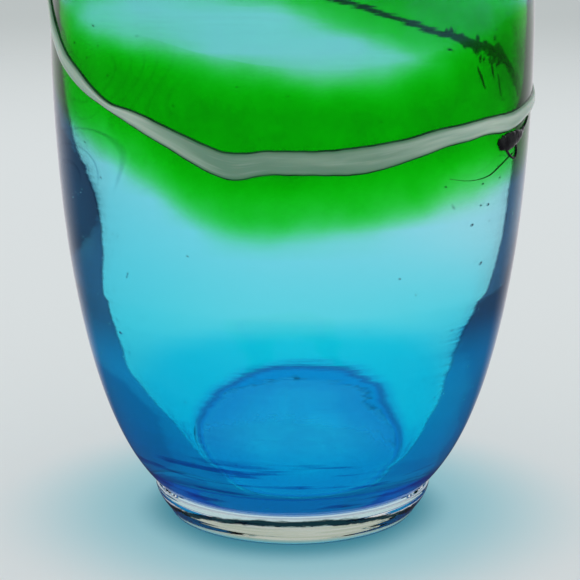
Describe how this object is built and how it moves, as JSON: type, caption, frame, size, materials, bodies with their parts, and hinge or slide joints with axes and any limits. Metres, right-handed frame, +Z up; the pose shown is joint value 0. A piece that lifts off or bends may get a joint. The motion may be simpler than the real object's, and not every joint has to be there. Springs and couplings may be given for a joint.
{
  "type": "vase",
  "caption": "Tall barrel-shaped blown glass vase with a small flared lip, thick heel, closed hollow, wound trail and an applied round foot.",
  "frame": {"origin": "centre of the foot's underside, on the surface that the vase stands on", "axes": "+Z up along the vase's axis to the mouth; -Y is the front, the side with the wide part of the ribbon; +X to the right seen from the front"},
  "size_m": [0.1518, 0.1516, 0.2635],
  "materials": {
    "clear_glass": "clear, fire-polished gloss",
    "aqua_glass": "transparent aqua to blue with fine seeds, fire-polished gloss",
    "foot_glass": "clear with a faint straw tone, ground underside",
    "green_glass": "transparent green overlay with feathered edges",
    "dark_green_glass": "near-opaque dark green, gloss",
    "white_glass": "opal white, streaked grey-green, gloss",
    "black_glass": "near-black violet glass, gloss",
    "frit_glass": "dark green glass bits, rough"
  },
  "bodies": {
    "root": {"clear_outer_casing": "clear_glass", "aqua_inner_gather": "aqua_glass", "clear_foot_disc": "foot_glass", "green_colour_band": "green_glass", "dark_under_trail": "dark_green_glass", "white_ribbon_trail": "white_glass", "dark_trail_knot": "black_glass", "dark_frit_patch": "frit_glass"}
  },
  "joints": []
}
